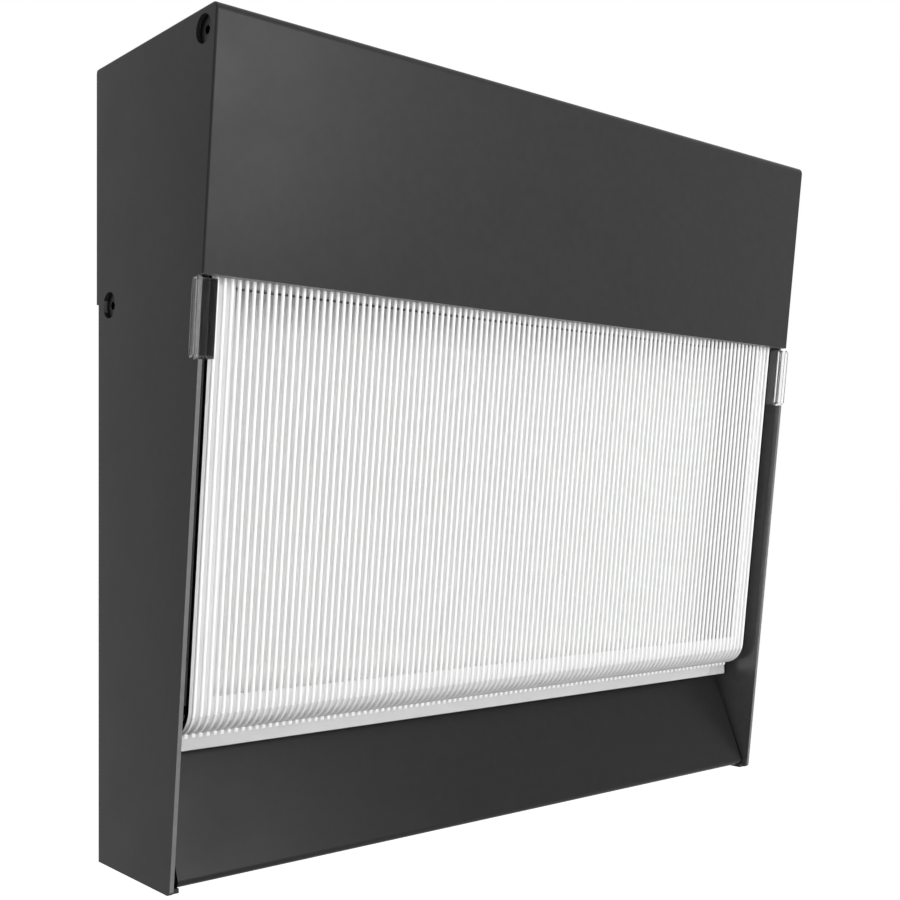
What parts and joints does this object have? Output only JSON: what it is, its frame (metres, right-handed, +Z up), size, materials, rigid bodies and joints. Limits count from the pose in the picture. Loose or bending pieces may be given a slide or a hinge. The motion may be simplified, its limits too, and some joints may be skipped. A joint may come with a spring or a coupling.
{
  "type": "wall pack light",
  "caption": "Wall-mounted outdoor light with a bent-sheet hood, a ribbed clear wraparound lens and a tilted sill, hinged at the top for wiring.",
  "frame": {"origin": "on the wall plane, at the middle of the casing's width and height", "axes": "+X across the front, to the right when facing the light; +Y into the wall; +Z up"},
  "size_m": [0.338, 0.0945, 0.305],
  "materials": {
    "cover_paint": "semi-matt powder coat",
    "sill_paint": "satin powder coat",
    "painted_steel": "semi-matt powder coat",
    "clamp_paint": "matt black",
    "white_reflector": "matt white",
    "white_tray": "satin white",
    "clear_lens": "clear ribbed",
    "gasket_rubber": "matt foam",
    "black_rubber": "matt",
    "zinc_steel": "zinc plated",
    "black_screws": "black oxide",
    "sink_aluminium": "mill",
    "board_white": "white solder mask",
    "led_yellow": "phosphor",
    "driver_case": "satin white",
    "terminal_plastic": "moulded",
    "terminal_brass": "satin",
    "ground_green": "green passivated",
    "clip_plastic": "natural nylon",
    "lead_black": "insulation",
    "lead_white": "insulation",
    "lead_green": "insulation",
    "lead_red": "insulation",
    "lead_blue": "insulation"
  },
  "bodies": {
    "wall_side": {"wall_gasket": "gasket_rubber", "back_pan": "painted_steel", "pan_flanges": "painted_steel", "entry_grommet": "black_rubber", "bumpers": "black_rubber", "hinge_leaf_fixed": "zinc_steel", "hinge_pins": "zinc_steel", "frame_brackets": "zinc_steel", "bracket_screws": "zinc_steel", "reflector": "white_reflector", "reflector_nuts": "zinc_steel", "led_tray": "white_tray", "tray_screws": "zinc_steel", "heat_sink": "sink_aluminium", "led_board": "board_white", "leds": "led_yellow", "board_screws": "zinc_steel", "driver": "driver_case", "driver_screws": "zinc_steel", "terminal_block": "terminal_plastic", "terminal_screws": "terminal_brass", "ground_screw": "ground_green", "supply_lead_black": "lead_black", "supply_lead_white": "lead_white", "supply_lead_green": "lead_green", "led_lead_red": "lead_red", "led_lead_blue": "lead_blue", "lead_clip": "clip_plastic", "led_connector": "clip_plastic"},
    "cover": {"cover_shell": "cover_paint", "sill": "sill_paint", "lens": "clear_lens", "lens_gasket": "gasket_rubber", "lens_pad": "black_rubber", "lens_frame": "clamp_paint", "hood_screws": "black_screws", "hood_nuts": "zinc_steel", "hinge_leaf_moving": "zinc_steel", "lock_brackets": "clamp_paint", "lock_nuts": "zinc_steel"},
    "lock_screw_left": {"lock_screw_left": "black_screws"},
    "lock_screw_right": {"lock_screw_right": "black_screws"}
  },
  "joints": [
    {"name": "cover_hinge", "type": "hinge", "parent": "wall_side", "child": "cover", "pos_m": [0, -0.0088, 0.1465], "axis": [-1, 0, 0], "range_deg": [0, 70]},
    {"name": "lock_screw_left_slide", "type": "slide", "parent": "cover", "child": "lock_screw_left", "axis": [-1, 0, 0], "range_m": [0, 0.0024]},
    {"name": "lock_screw_right_slide", "type": "slide", "parent": "cover", "child": "lock_screw_right", "axis": [1, 0, 0], "range_m": [0, 0.0024]}
  ]
}
